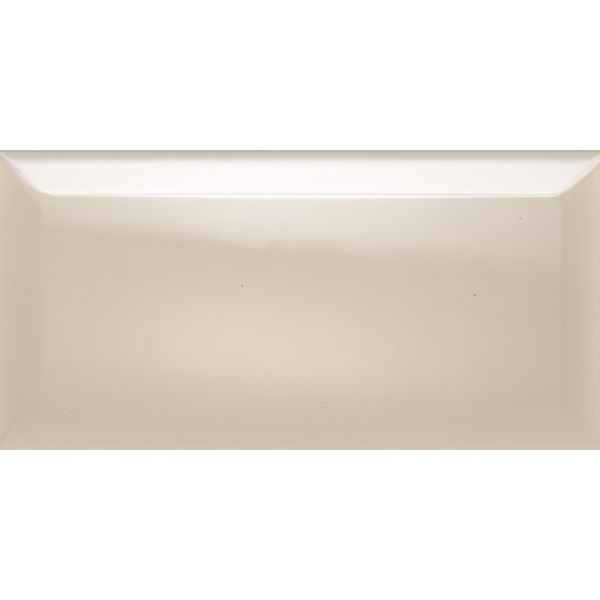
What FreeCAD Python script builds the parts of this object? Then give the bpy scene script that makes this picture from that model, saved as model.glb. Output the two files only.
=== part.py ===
import FreeCAD
import Part
import math
import os

# Bevelled subway wall tile: one piece, pressed, glazed and fired. Millimetres.
# It lies on its keyed back, which is on z = 0, with the glazed face up.
# X runs along the tile, Y across it, and the origin is the middle of the back.

# Outline and thickness
tile_length = 149.2
tile_width = 73.0
field_height = 8.5  # from the back to the flat field in the middle of the face

# Bevelled border of the face
edge_height = 4.8  # from the back to the line where bevel and side wall meet
bevel_width = 10.1  # from the outline to where the bevel begins to roll over
bevel_crown = 0.3  # bulge above a straight slope, halfway across the bevel
roll_width = 1.8  # over which the bevel eases into the flat field
outline_corner = 1.2  # corner radius of the outline
field_corner = 2.8  # corner radius of the field, which softens the mitred hips
arris_round = 1.0  # fillet where the bevel turns down into the side wall

# Side walls: an upright land below the bevel, then a skirt that draws in to the back
skirt_height = 2.6
skirt_setback = 0.5
back_round = 0.4  # fillet round the edge of the back

# Keyed back: shallow pockets between ribs, inside a plain margin
key_columns = 9
key_rows = 4
key_margin = 5.0
key_rib = 2.0
key_depth = 0.5
key_corner = 1.2
key_wall_angle = 40.0  # degrees that a pocket wall leans out from upright

FILLET_SHARE = 0.9  # most of a wall or corner that a fillet may take up
CROWN_RISE = 4  # crowns by which a bulged slope climbs more at its foot and less at its top
ON_LEVEL = 1e-6  # how near to a level an edge counts as lying on it


def rounded_rectangle(length, width, corner, height):
    """A closed wire round the Z axis: four arcs, each followed by a straight side."""
    reach_x = length / 2 - corner
    reach_y = width / 2 - corner
    arcs = []
    for turn, (side_x, side_y) in enumerate(((1, 1), (-1, 1), (-1, -1), (1, -1))):
        angles = [math.radians(90 * turn + step) for step in (0, 45, 90)]
        arcs.append([
            FreeCAD.Vector(
                side_x * reach_x + corner * math.cos(angle),
                side_y * reach_y + corner * math.sin(angle),
                height,
            )
            for angle in angles
        ])
    edges = []
    for arc, following in zip(arcs, arcs[1:] + arcs[:1]):
        edges.append(Part.Arc(*arc).toShape())
        edges.append(Part.LineSegment(arc[-1], following[0]).toShape())
    return Part.Wire(edges)


def section(inset, corner, height):
    """The tile's outline at one level, drawn in by inset on every side."""
    return rounded_rectangle(tile_length - 2 * inset, tile_width - 2 * inset, corner, height)


def side_walls():
    """The skirt that draws in to the back, and the upright land above it."""
    skirt_top = section(0, outline_corner, skirt_height)
    skirt = Part.makeLoft([section(skirt_setback, outline_corner, 0), skirt_top], True, True)
    land = Part.Face(skirt_top).extrude(FreeCAD.Vector(0, 0, edge_height - skirt_height))
    return [skirt, land]


def bevel_rise():
    """How high the bevel climbs, so that it and the roll above it share a slope where they meet."""
    share = roll_width / (2 * bevel_width)
    return (field_height - edge_height + CROWN_RISE * bevel_crown * share) / (1 + share)


def border_ring(profile):
    """A smooth step of the border through (inset, height) pairs, with corners that open out inwards."""
    sections = []
    for inset, height in profile:
        opening = (field_corner - outline_corner) * inset / (bevel_width + roll_width)
        sections.append(section(inset, outline_corner + opening, height))
    return Part.makeLoft(sections, True, False)


def bevelled_border():
    """Four crowned bevels that meet in soft hips, and the roll that eases them into the flat field."""
    roll_start = edge_height + bevel_rise()
    bevel_middle = (edge_height + roll_start) / 2 + bevel_crown
    roll_middle = (roll_start + 3 * field_height) / 4  # an easing curve is three quarters up by then
    bevel = border_ring((
        (0, edge_height),
        (bevel_width / 2, bevel_middle),
        (bevel_width, roll_start),
    ))
    roll = border_ring((
        (bevel_width, roll_start),
        (bevel_width + roll_width / 2, roll_middle),
        (bevel_width + roll_width, field_height),
    ))
    return [bevel, roll]


def edges_on(body, height):
    """The closed loop of edges that lies on one level."""
    return [edge for edge in body.Edges if abs(edge.BoundBox.ZMin - height) < ON_LEVEL
            and abs(edge.BoundBox.ZMax - height) < ON_LEVEL]


def softened(body):
    """The body with the arris and the edge of the back rounded, as far as their walls allow."""
    slope_at_edge = math.atan2(bevel_rise() + CROWN_RISE * bevel_crown, bevel_width)
    land_room = (edge_height - skirt_height) / math.tan(math.pi / 4 - slope_at_edge / 2)
    rounds = (
        (edge_height, arris_round, min(outline_corner, land_room)),
        (0, back_round, min(outline_corner, skirt_height)),
    )
    for height, radius, room in rounds:
        body = body.makeFillet(min(radius, FILLET_SHARE * room), edges_on(body, height))
    return body


def key_pockets():
    """The rows and columns of shallow pockets that key the back to its adhesive."""
    border = skirt_setback + key_margin
    pocket_length = (tile_length - 2 * border - (key_columns - 1) * key_rib) / key_columns
    pocket_width = (tile_width - 2 * border - (key_rows - 1) * key_rib) / key_rows
    lean = key_depth * math.tan(math.radians(key_wall_angle))
    reach_x = pocket_length / 2
    reach_y = pocket_width / 2
    pocket = Part.makeWedge(
        -reach_x, 0, -reach_y, lean - reach_y, lean - reach_x,
        reach_x, key_depth, reach_y, reach_y - lean, reach_x - lean,
    )
    pocket.rotate(FreeCAD.Vector(), FreeCAD.Vector(1, 0, 0), 90)
    corners = [edge for edge in pocket.Edges if edge.BoundBox.ZLength > ON_LEVEL]
    pocket = pocket.makeFillet(key_corner, corners)
    pockets = []
    for column in range(key_columns):
        for row in range(key_rows):
            across = (column - (key_columns - 1) / 2) * (pocket_length + key_rib)
            up = (row - (key_rows - 1) / 2) * (pocket_width + key_rib)
            pockets.append(pocket.translated(FreeCAD.Vector(across, up, 0)))
    return pockets


def wall_tile():
    """The finished tile as one solid."""
    skirt, *upper = side_walls() + bevelled_border()
    body = skirt.fuse(upper).removeSplitter()
    return softened(body).cut(Part.Compound(key_pockets())).Solids[0]


os.makedirs("parts", exist_ok=True)
tile = wall_tile()
tile.exportStep("parts/tile.step")
print("tile: valid", tile.isValid(), "volume", round(tile.Volume), "mm3,", len(tile.Faces), "faces")
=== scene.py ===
import bmesh
import bpy
import math
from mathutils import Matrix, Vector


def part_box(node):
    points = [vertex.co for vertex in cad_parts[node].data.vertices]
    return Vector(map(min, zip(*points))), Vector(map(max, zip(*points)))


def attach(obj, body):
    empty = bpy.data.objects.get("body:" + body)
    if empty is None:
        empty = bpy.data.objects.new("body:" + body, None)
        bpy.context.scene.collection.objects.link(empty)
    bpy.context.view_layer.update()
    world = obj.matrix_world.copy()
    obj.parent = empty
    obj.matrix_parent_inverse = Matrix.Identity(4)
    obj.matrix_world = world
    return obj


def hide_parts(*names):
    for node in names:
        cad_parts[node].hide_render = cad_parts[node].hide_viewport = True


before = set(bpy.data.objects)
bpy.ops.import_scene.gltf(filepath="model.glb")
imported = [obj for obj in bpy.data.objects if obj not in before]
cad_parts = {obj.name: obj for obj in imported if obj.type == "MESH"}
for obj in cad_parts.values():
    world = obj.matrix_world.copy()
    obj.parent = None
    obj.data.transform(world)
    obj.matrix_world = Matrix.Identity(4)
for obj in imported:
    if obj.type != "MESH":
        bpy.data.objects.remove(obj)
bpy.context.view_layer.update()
tileLow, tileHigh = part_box("tile")
tileLength = tileHigh.x - tileLow.x
tileWidth = tileHigh.y - tileLow.y
tileHeight = tileHigh.z
mm = 0.001
print("frame loaded, tile", [round(side / mm, 2) for side in (tileLength, tileWidth, tileHeight)], "mm")


# Node helpers

def addNode(tree, kind, **settings):
    node = tree.nodes.new(kind)
    for name, value in settings.items():
        setattr(node, name, value)
    return node


def feed(tree, socket, value):
    if isinstance(value, Sum):
        value = value.socket
    if isinstance(value, bpy.types.NodeSocket):
        tree.links.new(value, socket)
    else:
        socket.default_value = value


def wire(tree, kind, inputs, **settings):  # a node with its named or numbered inputs fed
    node = addNode(tree, kind, **settings)
    for name, value in inputs.items():
        feed(tree, node.inputs[name], value)
    return node


class Sum:  # a number socket that turns arithmetic into Math nodes
    def __init__(self, tree, socket):
        self.tree = tree
        self.socket = socket

    def op(self, operation, *others):
        node = wire(self.tree, "ShaderNodeMath", dict(enumerate((self, *others))), operation=operation)
        return Sum(self.tree, node.outputs[0])

    def __add__(self, other):
        return self.op("ADD", other)

    def __sub__(self, other):
        return self.op("SUBTRACT", other)

    def __mul__(self, other):
        return self.op("MULTIPLY", other)

    def __truediv__(self, other):
        return self.op("DIVIDE", other)

    def least(self, other):
        return self.op("MINIMUM", other)

    def most(self, other):
        return self.op("MAXIMUM", other)

    def size(self):
        return self.op("ABSOLUTE")

    def sign(self):
        return self.op("SIGN")

    def within(self, low, high):
        return self.most(low).least(high)

    def above(self, limit):
        return self.op("GREATER_THAN", limit)

    def ramp(self, start, end):  # 0 at start, 1 at end, eased at both
        node = wire(self.tree, "ShaderNodeMapRange", {"Value": self, "From Min": start, "From Max": end},
                    interpolation_type="SMOOTHSTEP")
        return Sum(self.tree, node.outputs[0])

    def pick(self, otherwise, chosen):  # chosen where this is 1, otherwise where it is 0
        return self * chosen + (self * -1 + 1) * otherwise


def axes(tree, vector):
    node = wire(tree, "ShaderNodeSeparateXYZ", {0: vector})
    return [Sum(tree, socket) for socket in node.outputs]


def point(tree, x, y, z):
    return wire(tree, "ShaderNodeCombineXYZ", {0: x, 1: y, 2: z}).outputs[0]


def noise(tree, place, scale, detail, roughness=0.5):
    node = wire(tree, "ShaderNodeTexNoise", {
        "Vector": place, "Scale": scale, "Detail": detail, "Roughness": roughness})
    return Sum(tree, node.outputs[0])


def blend(tree, factor, first, second):  # a colour mix, whose colour sockets are numbered
    node = wire(tree, "ShaderNodeMix", {0: factor, 6: first, 7: second}, data_type="RGBA")
    return node.outputs[2]


def newGroup(name, inputs, outputs):  # a shader node group with named sockets
    tree = bpy.data.node_groups.new(name, "ShaderNodeTree")
    for socketName, (kind, value) in inputs.items():
        socket = tree.interface.new_socket(name=socketName, in_out="INPUT", socket_type="NodeSocket" + kind)
        if value is not None:
            socket.default_value = value
    for socketName, kind in outputs.items():
        tree.interface.new_socket(name=socketName, in_out="OUTPUT", socket_type="NodeSocket" + kind)
    return tree, addNode(tree, "NodeGroupInput"), addNode(tree, "NodeGroupOutput")


# The tile: one pressed piece, sizes in millimetres as in the CAD

tileSizes = {
    "edgeHeight": 4.8,  # back to the line where bevel and side wall would meet
    "bevelWidth": 10.1,
    "bevelCrown": 0.3,
    "rollWidth": 1.8,
    "outlineCorner": 1.2,
    "fieldCorner": 2.8,
    "leastCorner": 0.001,  # for the rings well inside the field
    "arrisRound": 1.0,
    "skirtHeight": 2.6,
    "skirtSetback": 0.5,
    "backRound": 0.4,
    "keyColumns": 9,
    "keyRows": 4,
    "keyMargin": 5.0,
    "keyRib": 2.0,
    "keyDepth": 0.5,
    "keyCorner": 1.2,
    "keyWallAngle": 40.0,
    "clayAbove": 0.02,  # how far the bare clay reaches past the pocket floors
    "arrisSteps": 9,
    "bevelSteps": 34,
    "rollSteps": 10,
    "skirtSteps": 6,
    "backSteps": 4,
    "keyCornerSteps": 5,
    "fieldStep": 0.9,  # mesh spacing in the field
    "weld": 0.002,
    "sharpAngle": 35.0,
    "waveDepth": 0.02,  # slow waves that the glaze set in
    "waveSpacing": 26.0,
    "waveDetail": 1.5,
    "waveSlice": 3.7,  # which cut through the noise the waves are
    "waveStart": (1.0, 9.0),  # they grow over this stretch from the edge
}


def borderProfile(sizes):  # the curves that the border is made of
    bow = 4 * sizes["bevelCrown"]
    share = sizes["rollWidth"] / (2 * sizes["bevelWidth"])
    climb = (tileHeight / mm - sizes["edgeHeight"] + bow * share) / (1 + share)
    footSlope = (climb + bow) / sizes["bevelWidth"]
    topSlope = (climb - bow) / sizes["bevelWidth"]
    easing = (footSlope - topSlope) / (2 * sizes["bevelWidth"])
    lean = math.atan(footSlope)
    arrisInset = sizes["arrisRound"] * (1 - math.sin(lean))
    onBevel = sizes["edgeHeight"] + footSlope * arrisInset - easing * arrisInset ** 2
    return {
        "Foot Slope": footSlope,
        "Top Slope": topSlope,
        "Easing": easing,
        "Arris Inset": arrisInset,
        "Arris Turn": math.pi / 2 - lean,
        "Arris Centre": onBevel - sizes["arrisRound"] * math.cos(lean),
    }


def treeInputs(sizes):
    return {
        "Half Length": tileLength / mm / 2,
        "Half Width": tileWidth / mm / 2,
        "Edge Height": sizes["edgeHeight"],
        "Bevel Width": sizes["bevelWidth"],
        "Roll Width": sizes["rollWidth"],
        "Outline Corner": sizes["outlineCorner"],
        "Field Corner": sizes["fieldCorner"],
        "Arris Round": sizes["arrisRound"],
        "Wave Depth": sizes["waveDepth"],
        "Wave Spacing": sizes["waveSpacing"],
        **borderProfile(sizes),
    }


def ringInset(cell, cells, half, sizes, given):  # distance in from the outline, for a row of the grid
    ring = cell.size() * -1 + cells / 2
    pastArris = ring - sizes["arrisSteps"]
    pastBevel = pastArris - sizes["bevelSteps"]
    pastRoll = pastBevel - sizes["rollSteps"]
    fieldSteps = cells / 2 - sizes["arrisSteps"] - sizes["bevelSteps"] - sizes["rollSteps"]
    turn = (ring / sizes["arrisSteps"]).within(0, 1) * given["Arris Turn"]
    turned = (turn.op("COSINE") * -1 + 1) / (given["Arris Turn"].op("COSINE") * -1 + 1)
    bevel = (pastArris / sizes["bevelSteps"]).within(0, 1)
    roll = (pastBevel / sizes["rollSteps"]).within(0, 1)
    field = (pastRoll / fieldSteps).within(0, 1)
    return (turned * given["Arris Inset"] + bevel * (given["Bevel Width"] - given["Arris Inset"])
            + roll * given["Roll Width"] + field * (half - given["Bevel Width"] - given["Roll Width"]))


def borderHeight(inset, given):  # arris arc, crowned bevel, roll, field
    out = given["Arris Round"] - inset
    arc = given["Arris Centre"] + (given["Arris Round"] * given["Arris Round"] - out * out).most(0).op("SQRT")
    along = inset.least(given["Bevel Width"])
    rolled = (inset - given["Bevel Width"]).within(0, given["Roll Width"])
    slope = (given["Edge Height"] + given["Foot Slope"] * along - given["Easing"] * along * along
             + given["Top Slope"] * rolled * (rolled / given["Roll Width"] * -0.5 + 1))
    return (given["Arris Inset"] - inset).above(0).pick(slope, arc)


def pressedFace(tree, sizes, given):  # a grid of unit cells, whose rings become the tile's rounded outlines
    borderSteps = sizes["arrisSteps"] + sizes["bevelSteps"] + sizes["rollSteps"]
    fieldInset = sizes["bevelWidth"] + sizes["rollWidth"]
    cellsX = 2 * borderSteps + 2 * round((tileLength / mm / 2 - fieldInset) / sizes["fieldStep"])
    cellsY = 2 * borderSteps + 2 * round((tileWidth / mm / 2 - fieldInset) / sizes["fieldStep"])
    grid = wire(tree, "GeometryNodeMeshGrid", {
        "Size X": cellsX, "Size Y": cellsY, "Vertices X": cellsX + 1, "Vertices Y": cellsY + 1})
    cellX, cellY = axes(tree, addNode(tree, "GeometryNodeInputPosition").outputs[0])[:2]
    insetX = ringInset(cellX, cellsX, given["Half Length"], sizes, given)
    insetY = ringInset(cellY, cellsY, given["Half Width"], sizes, given)
    inset = insetX.least(insetY)

    # corners open out from the outline to the field, and close again inside it
    borderWidth = given["Bevel Width"] + given["Roll Width"]
    opening = (inset / borderWidth).least(1) * (given["Field Corner"] - given["Outline Corner"])
    closing = (inset - borderWidth).most(0)
    corner = (opening + given["Outline Corner"] - closing).most(sizes["leastCorner"])
    centreX = given["Half Length"] - inset - corner
    centreY = given["Half Width"] - inset - corner
    sideX = given["Half Length"] - insetX
    sideY = given["Half Width"] - insetY
    pastX = (sideX - centreX) / corner
    pastY = (sideY - centreY) / corner
    inCorner = pastX.least(pastY).above(0)
    angle = pastX.least(pastY).within(0, 1) * (math.pi / 4)
    longWay = corner * angle.op("COSINE")
    shortWay = corner * angle.op("SINE")
    mostlyX = pastX.above(pastY)
    placeX = inCorner.pick(sideX, centreX + mostlyX.pick(shortWay, longWay)) * cellX.sign()
    placeY = inCorner.pick(sideY, centreY + mostlyX.pick(longWay, shortWay)) * cellY.sign()

    waveAt = point(tree, placeX / given["Wave Spacing"], placeY / given["Wave Spacing"], sizes["waveSlice"])
    waves = noise(tree, waveAt, 1.0, sizes["waveDetail"]) * inset.ramp(*sizes["waveStart"])
    height = borderHeight(inset, given) - waves * given["Wave Depth"]
    place = point(tree, placeX * mm, placeY * mm, height * mm)
    return wire(tree, "GeometryNodeSetPosition", {"Geometry": grid.outputs[0], "Position": place}).outputs[0]


def wallRings(sizes):  # inset and level of each ring: foot of the land, skirt, and the round to the back
    lean = math.atan(sizes["skirtSetback"] / sizes["skirtHeight"])
    tangent = sizes["backRound"] / math.tan((math.pi / 2 + lean) / 2)
    roundCentre = sizes["skirtSetback"] + tangent
    skirtFoot = tangent * math.cos(lean)
    rings = [(0.0, sizes["skirtHeight"])]
    for row in range(1, sizes["skirtSteps"] + 1):
        level = sizes["skirtHeight"] + (skirtFoot - sizes["skirtHeight"]) * row / sizes["skirtSteps"]
        rings.append(((sizes["skirtHeight"] - level) * math.tan(lean), level))
    for row in range(1, sizes["backSteps"] + 1):
        turn = lean + (math.pi / 2 - lean) * row / sizes["backSteps"]
        inset = roundCentre - sizes["backRound"] * math.cos(turn)
        rings.append((inset, sizes["backRound"] * (1 - math.sin(turn))))
    return rings


def sideWalls(tree, face, sizes, given):
    # the way out of the tile, kept for the rings
    atX, atY = axes(tree, addNode(tree, "GeometryNodeInputPosition").outputs[0])[:2]
    holdX = (given["Half Length"] - given["Outline Corner"]) * mm
    holdY = (given["Half Width"] - given["Outline Corner"]) * mm
    outX = (atX - atX.within(holdX * -1, holdX)) / (given["Outline Corner"] * mm)
    outY = (atY - atY.within(holdY * -1, holdY)) / (given["Outline Corner"] * mm)
    kept = wire(tree, "GeometryNodeStoreNamedAttribute", {
        "Geometry": face, "Name": "outward", "Value": point(tree, outX, outY, 0)},
        data_type="FLOAT_VECTOR", domain="POINT")
    outward = wire(tree, "GeometryNodeInputNamedAttribute", {"Name": "outward"}, data_type="FLOAT_VECTOR")
    outwardX, outwardY = axes(tree, outward.outputs[0])[:2]

    # the open rim, drawn down ring by ring
    facesBeside = addNode(tree, "GeometryNodeInputMeshEdgeNeighbors").outputs[0]
    rim = wire(tree, "FunctionNodeCompare", {2: facesBeside, 3: 1}, data_type="INT", operation="EQUAL")
    body, edge = kept.outputs[0], rim.outputs[0]
    lastInset, lastLevel = 0.0, borderProfile(sizes)["Arris Centre"]
    for inset, level in wallRings(sizes):
        step = (lastInset - inset) * mm
        move = point(tree, outwardX * step, outwardY * step, (level - lastLevel) * mm)
        walls = wire(tree, "GeometryNodeExtrudeMesh", {
            "Mesh": body, "Selection": edge, "Offset": move, "Offset Scale": 1.0}, mode="EDGES")
        body, edge = walls.outputs["Mesh"], walls.outputs["Top"]
        lastInset, lastLevel = inset, level
    return body, edge


def keyedBack(tree, body, edge, sizes):  # the ribs between the pocket mouths, and the pockets themselves
    margin = sizes["skirtSetback"] + sizes["keyMargin"]
    ribsAlong = (sizes["keyColumns"] - 1) * sizes["keyRib"]
    ribsAcross = (sizes["keyRows"] - 1) * sizes["keyRib"]
    pocketLength = (tileLength / mm - 2 * margin - ribsAlong) / sizes["keyColumns"]
    pocketWidth = (tileWidth / mm - 2 * margin - ribsAcross) / sizes["keyRows"]
    narrowing = 2 * sizes["keyDepth"] * math.tan(math.radians(sizes["keyWallAngle"]))
    centres = wire(tree, "GeometryNodeMeshGrid", {
        "Size X": (sizes["keyColumns"] - 1) * (pocketLength + sizes["keyRib"]) * mm,
        "Size Y": (sizes["keyRows"] - 1) * (pocketWidth + sizes["keyRib"]) * mm,
        "Vertices X": sizes["keyColumns"], "Vertices Y": sizes["keyRows"]})
    mouth = wire(tree, "GeometryNodeCurvePrimitiveQuadrilateral", {
        "Width": pocketLength * mm, "Height": pocketWidth * mm})
    mouthRound = wire(tree, "GeometryNodeFilletCurve", {
        "Curve": mouth.outputs[0], "Count": sizes["keyCornerSteps"], "Radius": sizes["keyCorner"] * mm},
        mode="POLY")
    mouths = wire(tree, "GeometryNodeInstanceOnPoints", {
        "Points": centres.outputs[0], "Instance": mouthRound.outputs[0]})
    mouthCurves = wire(tree, "GeometryNodeRealizeInstances", {"Geometry": mouths.outputs[0]})
    outline = wire(tree, "GeometryNodeMeshToCurve", {"Mesh": body, "Selection": edge})
    loops = addNode(tree, "GeometryNodeJoinGeometry")
    tree.links.new(outline.outputs[0], loops.inputs[0])
    tree.links.new(mouthCurves.outputs[0], loops.inputs[0])
    ribs = wire(tree, "GeometryNodeFillCurve", {"Curve": loops.outputs[0]}, mode="TRIANGLES")

    lid = wire(tree, "GeometryNodeFillCurve", {"Curve": mouthRound.outputs[0]}, mode="NGONS")
    pushed = wire(tree, "GeometryNodeExtrudeMesh", {
        "Mesh": lid.outputs[0], "Offset": point(tree, 0, 0, sizes["keyDepth"] * mm),
        "Offset Scale": 1.0, "Individual": False}, mode="FACES")
    floorX, floorY, floorZ = axes(tree, addNode(tree, "GeometryNodeInputPosition").outputs[0])
    narrowX = floorX * (1 - narrowing / pocketLength)
    narrowY = floorY * (1 - narrowing / pocketWidth)
    pocket = wire(tree, "GeometryNodeSetPosition", {
        "Geometry": pushed.outputs["Mesh"], "Selection": pushed.outputs["Top"],
        "Position": point(tree, narrowX, narrowY, floorZ)})
    pockets = wire(tree, "GeometryNodeInstanceOnPoints", {
        "Points": centres.outputs[0], "Instance": pocket.outputs[0]})
    return ribs.outputs[0], pockets.outputs[0]


def tileTree(sizes, glaze, clay):
    numbers = treeInputs(sizes)
    tree = bpy.data.node_groups.new("pressedTile", "GeometryNodeTree")
    tree.interface.new_socket(name="Geometry", in_out="OUTPUT", socket_type="NodeSocketGeometry")
    for name in numbers:
        tree.interface.new_socket(name=name, in_out="INPUT", socket_type="NodeSocketFloat")
    entry = addNode(tree, "NodeGroupInput")
    given = {name: Sum(tree, entry.outputs[name]) for name in numbers}
    face = pressedFace(tree, sizes, given)
    body, edge = sideWalls(tree, face, sizes, given)
    ribs, pockets = keyedBack(tree, body, edge, sizes)
    whole = addNode(tree, "GeometryNodeJoinGeometry")
    for part in (body, ribs, pockets):
        tree.links.new(part, whole.inputs[0])
    solid = wire(tree, "GeometryNodeRealizeInstances", {"Geometry": whole.outputs[0]})
    merged = wire(tree, "GeometryNodeMergeByDistance", {
        "Geometry": solid.outputs[0], "Distance": sizes["weld"] * mm})
    smooth = wire(tree, "GeometryNodeSetShadeSmooth", {"Geometry": merged.outputs[0]})
    glazed = wire(tree, "GeometryNodeSetMaterial", {"Geometry": smooth.outputs[0], "Material": glaze})
    height = axes(tree, addNode(tree, "GeometryNodeInputPosition").outputs[0])[2]
    clayTop = (sizes["keyDepth"] + sizes["clayAbove"]) * mm
    bare = wire(tree, "GeometryNodeSetMaterial", {
        "Geometry": glazed.outputs[0], "Material": clay, "Selection": (height * -1 + clayTop).above(0)})
    leave = addNode(tree, "NodeGroupOutput")
    tree.links.new(bare.outputs[0], leave.inputs[0])
    return tree, numbers


def makeTile(glaze, clay):
    tree, numbers = tileTree(tileSizes, glaze, clay)
    holder = bpy.data.objects.new("tileHolder", bpy.data.meshes.new("tileHolder"))
    bpy.context.scene.collection.objects.link(holder)
    pressing = holder.modifiers.new("pressing", "NODES")
    pressing.node_group = tree
    for socket in tree.interface.items_tree:
        if socket.in_out == "INPUT":
            pressing[socket.identifier] = numbers[socket.name]
    depsgraph = bpy.context.evaluated_depsgraph_get()
    mesh = bpy.data.meshes.new_from_object(holder.evaluated_get(depsgraph))
    bpy.data.objects.remove(holder)
    mesh.name = "glazed_tile"
    tile = bpy.data.objects.new("glazed_tile", mesh)
    bpy.context.scene.collection.objects.link(tile)
    return tile


def facesOutward(mesh):
    work = bmesh.new()
    work.from_mesh(mesh)
    bmesh.ops.recalc_face_normals(work, faces=work.faces)
    openEdges = [edge for edge in work.edges if len(edge.link_faces) != 2]
    print("tile mesh:", len(work.faces), "faces,", len(openEdges), "open edges")
    work.to_mesh(mesh)
    work.free()
    mesh.set_sharp_from_angle(angle=math.radians(tileSizes["sharpAngle"]))


# Materials: noise scales are per metre

clayLook = {
    "pale": (0.74, 0.66, 0.56, 1),
    "warm": (0.66, 0.56, 0.45, 1),
    # dark colour of the grog grains, also used as painted shade in the pits
    "pore": (0.38, 0.31, 0.25, 1),
    "cloud": {"scale": 90.0, "detail": 4.0},
    "grain": {"scale": 1900.0, "detail": 3.0, "roughness": 0.65},
    "pits": {"scale": 900.0, "detail": 1.0},
    "cloudEdge": (0.3, 0.7),
    "grainEdge": (0.35, 0.75),
    "poreEdge": (0.66, 0.74),
    "grainShade": 0.25,
    # the next value is painted shade: how far the pits are darkened
    "pitPaintedShade": 0.6,
    "grainHeight": 0.6,
    "poreDepth": 0.8,
    "leastRough": 0.77,
    "roughSpread": 0.15,
    "bumpDepth": 0.06,  # mm
    "bumpStrength": 0.6,
}


def clayGroup():  # bare fired clay: pale, chalky, with grog and pores, the pores darkened with painted shade
    tree, entry, leave = newGroup(
        "firedClay",
        {"Place": ("Vector", None), "Pale": ("Color", clayLook["pale"]), "Warm": ("Color", clayLook["warm"]),
         "GrainAndPitShade": ("Color", clayLook["pore"])},
        {"Color": "Color", "Roughness": "Float", "Height": "Float"})
    place = entry.outputs["Place"]
    cloud = noise(tree, place, **clayLook["cloud"]).ramp(*clayLook["cloudEdge"])
    grain = noise(tree, place, **clayLook["grain"])
    pore = noise(tree, place, **clayLook["pits"]).ramp(*clayLook["poreEdge"])
    body = blend(tree, cloud, entry.outputs["Pale"], entry.outputs["Warm"])
    grainMask = grain.ramp(*clayLook["grainEdge"]) * clayLook["grainShade"]
    grained = blend(tree, grainMask, body, entry.outputs["GrainAndPitShade"])
    # painted shade: the pits, which the height below also sinks, are darkened towards the dark colour
    colour = blend(tree, pore * clayLook["pitPaintedShade"], grained, entry.outputs["GrainAndPitShade"])
    feed(tree, leave.inputs["Color"], colour)
    feed(tree, leave.inputs["Roughness"], grain * clayLook["roughSpread"] + clayLook["leastRough"])
    feed(tree, leave.inputs["Height"], grain * clayLook["grainHeight"] - pore * clayLook["poreDepth"])
    return tree


def clayMaterial(group):
    material = bpy.data.materials.new("bareClay")
    material.use_nodes = True
    tree = material.node_tree
    shader = tree.nodes["Principled BSDF"]
    place = addNode(tree, "ShaderNodeTexCoord").outputs["Object"]
    clay = wire(tree, "ShaderNodeGroup", {"Place": place}, node_tree=group)
    bump = wire(tree, "ShaderNodeBump", {
        "Height": clay.outputs["Height"], "Distance": clayLook["bumpDepth"] * mm,
        "Strength": clayLook["bumpStrength"]})
    feed(tree, shader.inputs["Base Color"], clay.outputs["Color"])
    feed(tree, shader.inputs["Roughness"], clay.outputs["Roughness"])
    feed(tree, shader.inputs["Normal"], bump.outputs[0])
    return material


glazeLook = {
    "colour": (0.617, 0.518, 0.418, 1),
    "pooled": (0.592, 0.493, 0.393, 1),
    "cloud": {"scale": 55.0, "detail": 3.0},
    "mottle": {"scale": 420.0, "detail": 3.0, "roughness": 0.6},
    "cloudEdge": (0.35, 0.7),
    "mottleEdge": (0.4, 0.8),
    "cloudShade": 0.35,
    "mottleShade": 0.12,
    "ior": 1.55,
    "leastRough": 0.028,
    "roughSpread": 0.012,
    "lineHeight": 1.5,  # mm above the back where the glaze stops
    "lineWander": 1.1,
    "lineSoft": 0.12,
    "line": {"scale": 70.0, "detail": 4.0, "roughness": 0.6},
    "thickness": 0.12,  # mm over the clay
    "peelDepth": 0.005,  # mm, fine waves in the glaze
    "peelSpacing": 3.5,
    "peelDetail": 1.0,
    "clayRelief": 0.06,
    "speck": (0.16, 0.12, 0.09, 1),
    "speckRim": (1.3, 0.5),  # in radii
    "ragged": {"scale": 2600.0, "detail": 1.0},
    "raggedWidth": 0.3,
    "specks": [  # mm along and across the face, radius, strength
        (41.8, 1.2, 0.30, 0.75), (-14.4, 3.4, 0.26, 0.6), (52.9, 19.8, 0.25, 0.6),
        (4.9, -26.1, 0.24, 0.55), (-5.2, -2.2, 0.22, 0.4), (-29.8, 12.8, 0.2, 0.35),
        (-55.6, -27.0, 0.24, 0.4), (-68.4, -4.8, 0.24, 0.3), (-22.4, -9.4, 0.2, 0.3),
        (16.7, 16.2, 0.18, 0.25), (-52.0, 0.0, 0.22, 0.25), (23.5, -11.3, 0.2, 0.25),
        (14.8, -13.5, 0.2, 0.25),
    ],
}


def speckGroup():  # one dark grain under the glaze, with a soft rim
    tree, entry, leave = newGroup(
        "glazeSpeck",
        {"Place": ("Vector", None), "Centre": ("Vector", None), "Radius": ("Float", None),
         "Strength": ("Float", None)},
        {"Mask": "Float"})
    between = wire(tree, "ShaderNodeVectorMath", {0: entry.outputs["Place"], 1: entry.outputs["Centre"]},
                   operation="DISTANCE")
    apart = Sum(tree, between.outputs["Value"]) / entry.outputs["Radius"]
    feed(tree, leave.inputs["Mask"], apart.ramp(*glazeLook["speckRim"]) * entry.outputs["Strength"])
    return tree


def speckMask(tree, place):  # all the dark grains, with uneven rims
    x, y = axes(tree, place)[:2]
    ragged = (noise(tree, place, **glazeLook["ragged"]) - 0.5) * glazeLook["raggedWidth"]
    uneven = point(tree, x / mm + ragged, y / mm - ragged, 0)
    oneSpeck = speckGroup()
    masks = []
    for along, across, radius, strength in glazeLook["specks"]:
        speck = wire(tree, "ShaderNodeGroup", {
            "Place": uneven, "Centre": (along, across, 0), "Radius": radius, "Strength": strength},
            node_tree=oneSpeck)
        masks.append(Sum(tree, speck.outputs["Mask"]))
    grains = masks[0]
    for mask in masks[1:]:
        grains = grains.most(mask)
    return grains


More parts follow.
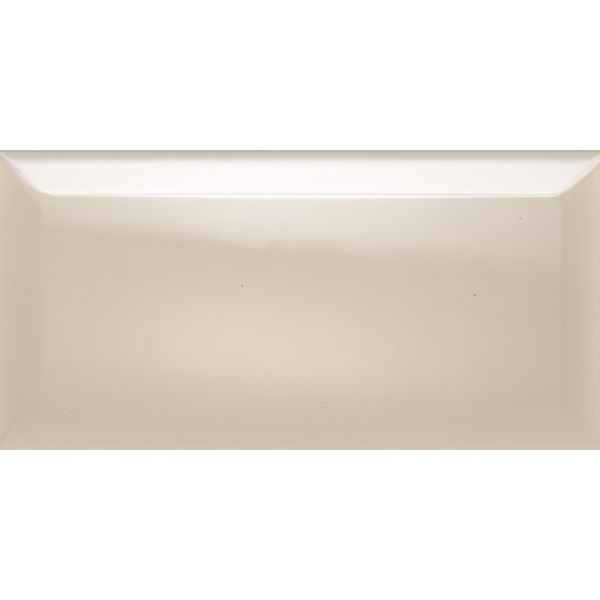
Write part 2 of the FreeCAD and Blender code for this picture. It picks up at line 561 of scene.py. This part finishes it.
def glazeMaterial(group):
    material = bpy.data.materials.new("beigeGlaze")
    material.use_nodes = True
    tree = material.node_tree
    shader = tree.nodes["Principled BSDF"]
    shader.inputs["IOR"].default_value = glazeLook["ior"]
    place = addNode(tree, "ShaderNodeTexCoord").outputs["Object"]
    clay = wire(tree, "ShaderNodeGroup", {"Place": place}, node_tree=group)

    # colour: a little deeper where the glaze pooled, with dark grains in it
    cloud = noise(tree, place, **glazeLook["cloud"]).ramp(*glazeLook["cloudEdge"])
    mottle = noise(tree, place, **glazeLook["mottle"])
    mottling = mottle.ramp(*glazeLook["mottleEdge"]) * glazeLook["mottleShade"]
    pooling = cloud * glazeLook["cloudShade"] + mottling
    plainGlaze = blend(tree, pooling, glazeLook["colour"], glazeLook["pooled"])
    glaze = blend(tree, speckMask(tree, place), plainGlaze, glazeLook["speck"])

    # the line on the skirt where the glaze stops
    wander = (noise(tree, place, **glazeLook["line"]) - 0.5) * (2 * glazeLook["lineWander"])
    level = axes(tree, place)[2] / mm + wander
    covered = level.ramp(glazeLook["lineHeight"] - glazeLook["lineSoft"],
                         glazeLook["lineHeight"] + glazeLook["lineSoft"])
    colour = blend(tree, covered, clay.outputs["Color"], glaze)
    gloss = mottle * glazeLook["roughSpread"] + glazeLook["leastRough"]
    roughness = covered.pick(Sum(tree, clay.outputs["Roughness"]), gloss)

    # relief in millimetres
    peel = noise(tree, place, 1 / (glazeLook["peelSpacing"] * mm), glazeLook["peelDetail"])
    clayRelief = Sum(tree, clay.outputs["Height"]) * glazeLook["clayRelief"]
    relief = covered.pick(clayRelief, peel * glazeLook["peelDepth"]) + covered * glazeLook["thickness"]
    bump = wire(tree, "ShaderNodeBump", {"Height": relief, "Distance": mm, "Strength": 1.0})
    feed(tree, shader.inputs["Base Color"], colour)
    feed(tree, shader.inputs["Roughness"], roughness)
    feed(tree, shader.inputs["Normal"], bump.outputs[0])
    return material


# Studio: camera, floor, world and key light, in metres

studio = {
    "lens": 200.0,
    "sensor": 36.0,
    "frameWidths": 1.9963,  # tile widths across the frame, which trims the tile's ends
    "cameraAside": -0.0004,
    "clipStart": 0.01,
    "white": (1, 1, 1, 1),
    "floorColour": (0.85, 0.85, 0.85, 1),
    "floorRoughness": 0.9,
    "floorSize": 6.0,
    "floorGlow": 0.55,
    "paleAir": 1.0,  # what the camera sees beyond the floor
    "edgeAir": 0.5,  # along the floor's far edge, as the glaze mirrors it
    "edgeRise": (0.2, 0.06),
    "highAir": 0.24,
    "highRise": (0.45, 0.8),
    "lowAir": 1.7,
    "frontAir": 1.0,
    "frontTurn": (-0.2, -0.6),
    "behindAir": 0.1,  # low down beyond the softbox
    "behindTurn": (0.2, 0.6),
    "keyPower": 7.7,
    "keySize": (1.2, 0.8),
    "keyPlace": (0, 0.1, 1.2),
}


def makeCamera():
    data = bpy.data.cameras.new("camera")
    data.lens = studio["lens"]
    data.sensor_width = studio["sensor"]
    data.clip_start = studio["clipStart"]
    camera = bpy.data.objects.new("camera", data)
    bpy.context.scene.collection.objects.link(camera)
    away = studio["frameWidths"] * tileWidth * studio["lens"] / studio["sensor"]
    camera.location = (studio["cameraAside"], 0, away + tileSizes["edgeHeight"] * mm)
    bpy.context.scene.camera = camera
    return camera.location.z


def plainSheet(name, height, width, depth):
    mesh = bpy.data.meshes.new(name)
    corners = [(-width / 2, -depth / 2, 0), (width / 2, -depth / 2, 0),
               (width / 2, depth / 2, 0), (-width / 2, depth / 2, 0)]
    mesh.from_pydata(corners, [], [(0, 1, 2, 3)])
    sheet = bpy.data.objects.new(name, mesh)
    sheet.location.z = height
    bpy.context.scene.collection.objects.link(sheet)
    return sheet


def makeFloor():
    floor = plainSheet("floor", 0, studio["floorSize"], studio["floorSize"])
    material = bpy.data.materials.new("paleFloor")
    material.use_nodes = True
    tree = material.node_tree
    shader = tree.nodes["Principled BSDF"]
    shader.inputs["Base Color"].default_value = studio["floorColour"]
    shader.inputs["Roughness"].default_value = studio["floorRoughness"]
    shader.inputs["Emission Color"].default_value = studio["white"]
    seen = Sum(tree, addNode(tree, "ShaderNodeLightPath").outputs["Is Camera Ray"])
    feed(tree, shader.inputs["Emission Strength"], seen * studio["floorGlow"])
    floor.data.materials.append(material)


def makeWorld():
    world = bpy.data.worlds.new("studioAir")
    bpy.context.scene.world = world
    world.use_nodes = True
    tree = world.node_tree
    y, z = axes(tree, addNode(tree, "ShaderNodeTexCoord").outputs["Generated"])[1:]
    front = y.ramp(*studio["frontTurn"]).pick(studio["lowAir"], studio["frontAir"])
    low = y.ramp(*studio["behindTurn"]).pick(front, studio["behindAir"])
    sky = z.ramp(*studio["highRise"]).pick(low, studio["highAir"])
    room = z.ramp(*studio["edgeRise"]).pick(sky, studio["edgeAir"])
    seen = Sum(tree, addNode(tree, "ShaderNodeLightPath").outputs["Is Camera Ray"])
    background = tree.nodes["Background"]
    background.inputs["Color"].default_value = studio["white"]
    feed(tree, background.inputs["Strength"], seen.pick(room, studio["paleAir"]))


def makeKey():
    data = bpy.data.lights.new("key", "AREA")
    data.shape = "RECTANGLE"
    data.size, data.size_y = studio["keySize"]
    data.energy = studio["keyPower"]
    key = bpy.data.objects.new("key", data)
    key.location = studio["keyPlace"]
    key.rotation_euler.x = math.atan2(-key.location.y, key.location.z)
    key.visible_glossy = False
    key.visible_camera = False
    bpy.context.scene.collection.objects.link(key)


# Lights that only the glaze mirrors: cards above the tile, drawn in metres from its middle

cards = {
    "size": (3.4, 3.8),
    "height": 1.0,
    "gap": 0.003,
}


def distance(x, y):
    return (x * x + y * y).op("SQRT")


def bell(across):  # 1 in the middle, with soft sides
    return (across * across * -0.5).op("EXPONENT")


softbox = {  # a long panel behind the tile, brightest in the middle, with fainter light beyond it
    "colour": (0.9, 1.0, 1.15),
    "level": 7.5,
    "lean": -2.5,  # per metre to the right
    "middle": 3.0,
    "middleWidth": 0.15,
    "nearEdge": (0.25, 0.45),
    "farEdge": (1.2, 0.95),
    "leftEdge": (-0.9, -0.05),
    "rightEdge": (1.3, 1.0),
    "beyond": 2.5,
    "beyondNear": (0.2, 0.5),
    "beyondRise": (0.9, 1.2),
    "beyondFall": (1.9, 1.2),
}


def softboxLight(x, y):
    reach = distance(x, y)
    deep = y.ramp(*softbox["nearEdge"]) * reach.ramp(*softbox["farEdge"])
    panel = deep * x.ramp(*softbox["leftEdge"]) * x.ramp(*softbox["rightEdge"])
    level = bell(x / softbox["middleWidth"]) * softbox["middle"] + x * softbox["lean"] + softbox["level"]
    rim = reach.ramp(*softbox["beyondRise"]) * reach.ramp(*softbox["beyondFall"])
    beyond = y.ramp(*softbox["beyondNear"]) * rim * softbox["beyond"]
    return panel * level + beyond


strip = {  # a lamp over the tile with a slanted near edge, brighter further back, and a bowed lip behind it
    "colour": (0.9, 1.0, 1.15),
    "slant": 0.08,
    "edge": 0.03,
    "softness": 0.005,
    "softer": 0.01,  # per metre to the right
    "softStart": -0.15,
    "centre": -0.02,
    "width": 0.1,
    "level": 3.2,
    "climb": 100.0,  # per metre back from the edge
    "climbDepth": 0.04,
    "farEdge": (0.33, 0.25),
    "lip": 5.5,
    "lipCentre": 0.04,
    "lipBow": 5.0,
    "lipNear": (0.06, 0.1),
    "lipFar": (0.5, 0.15),
    "lipLeft": (-0.4, -0.2),
}


def stripLight(x, y):
    back = y + x * strip["slant"] - strip["edge"]
    softness = (x - strip["softStart"]).most(0) * strip["softer"] + strip["softness"]
    aside = (x - strip["centre"]) / strip["width"]
    level = back.within(0, strip["climbDepth"]) * strip["climb"] + strip["level"]
    lamp = (back / softness).ramp(-1, 1) * level / (aside * aside + 1) * y.ramp(*strip["farEdge"])
    lipAside = x - strip["lipCentre"]
    bowed = y - lipAside * lipAside * strip["lipBow"]
    lip = bowed.ramp(*strip["lipNear"]) * y.ramp(*strip["lipFar"]) * x.ramp(*strip["lipLeft"])
    return lamp + lip * strip["lip"]


sides = {  # faint light out to both sides
    "colour": (1.03, 1.0, 0.84),
    "left": 1.4,
    "leftAcross": (-0.05, -0.2),
    "leftUp": (-0.25, 0.15),
    "right": 2.1,
    "rightAcross": (0.3, 1.6),
    "wing": 0.5,
    "wingSlant": 0.02,
    "wingEdge": (0.03, 0.04),
    "wingAcross": (0.1, 0.3),
    "upper": 1.0,
    "upperEdge": (0.05, 0.1),
    "upperReach": (0.2, 0.45),
    "farEdge": (0.6, 0.3),
}


def sideLight(x, y):
    left = x.ramp(*sides["leftAcross"]) * y.ramp(*sides["leftUp"]) * sides["left"]
    right = x.ramp(*sides["rightAcross"]) * sides["right"]
    wingUp = (y + x * sides["wingSlant"]).ramp(*sides["wingEdge"])
    wing = wingUp * x.ramp(*sides["wingAcross"]) * sides["wing"]
    upper = y.ramp(*sides["upperEdge"]) * distance(x, y).ramp(*sides["upperReach"]) * sides["upper"]
    return (left + right + wing + upper) * y.ramp(*sides["farEdge"])


glow = {  # a warm reflector near the camera, and its light on the near side
    "colour": (1.03, 1.0, 0.84),
    "middle": 2.5,
    "centre": (-0.02, -0.03),
    "tilt": 0.07,
    "width": 0.065,
    "above": 0.025,
    "below": 0.015,
    "turn": 0.01,
    "haze": 1.5,
    "hazeReach": (0.2, 0.05),
    "hazeFoot": (-0.07, -0.03),
    "near": 1.7,
    "nearCentre": -0.01,
    "nearWidth": 0.08,
    "nearStart": (-0.03, -0.08),
    "nearFade": (-1.2, -0.1),
    "front": 0.9,
    "frontReach": (0.6, 1.5),
    "frontStart": (-0.25, -0.9),
    "corner": 1.0,
    "cornerPlace": (0.65, -0.55),
    "cornerWidth": 0.2,
}


def glowLight(x, y):
    centreX, centreY = glow["centre"]
    up = y + x * glow["tilt"] - centreY
    along = up / up.ramp(-glow["turn"], glow["turn"]).pick(glow["below"], glow["above"])
    middle = bell((x - centreX) / glow["width"]) * bell(along) * glow["middle"]
    haze = distance(x, y).ramp(*glow["hazeReach"]) * y.ramp(*glow["hazeFoot"]) * glow["haze"]
    nearAcross = bell((x - glow["nearCentre"]) / glow["nearWidth"])
    near = nearAcross * y.ramp(*glow["nearStart"]) * y.ramp(*glow["nearFade"]) * glow["near"]
    front = distance(x, y).ramp(*glow["frontReach"]) * y.ramp(*glow["frontStart"]) * glow["front"]
    cornerX, cornerY = glow["cornerPlace"]
    cornerAcross = bell((x.size() - cornerX) / glow["cornerWidth"])
    corner = cornerAcross * bell((y - cornerY) / glow["cornerWidth"]) * glow["corner"]
    return middle + haze + near + front + corner


def cardMaterial(name, colour, light):
    material = bpy.data.materials.new(name)
    material.use_nodes = True
    tree = material.node_tree
    tree.nodes.clear()
    x, y = axes(tree, addNode(tree, "ShaderNodeTexCoord").outputs["Object"])[:2]
    shining = wire(tree, "ShaderNodeEmission", {"Color": (*colour, 1), "Strength": light(x, y)})
    through = addNode(tree, "ShaderNodeBsdfTransparent")  # what is behind still shows
    both = wire(tree, "ShaderNodeAddShader", {0: shining.outputs[0], 1: through.outputs[0]})
    leave = addNode(tree, "ShaderNodeOutputMaterial")
    tree.links.new(both.outputs[0], leave.inputs[0])
    return material


def makeCards():
    lights = [(softbox, softboxLight), (strip, stripLight), (sides, sideLight), (glow, glowLight)]
    for number, (look, light) in enumerate(lights):
        card = plainSheet(light.__name__, cards["height"] + number * cards["gap"], *cards["size"])
        card.data.materials.append(cardMaterial(light.__name__, look["colour"], light))
        card.visible_camera = False
        card.visible_diffuse = False
        card.visible_shadow = False


def setColours():
    view = bpy.context.scene.view_settings
    view.view_transform = "Standard"
    view.look = "None"
    view.exposure = 0
    view.gamma = 1


setColours()
cameraHeight = makeCamera()
makeFloor()
makeWorld()
makeKey()
makeCards()
print("studio ready, camera", round(cameraHeight, 3), "m up")

clayNodes = clayGroup()
glazedTile = makeTile(glazeMaterial(clayNodes), clayMaterial(clayNodes))
facesOutward(glazedTile.data)
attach(glazedTile, "root")
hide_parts("tile")
print("tile dressed")
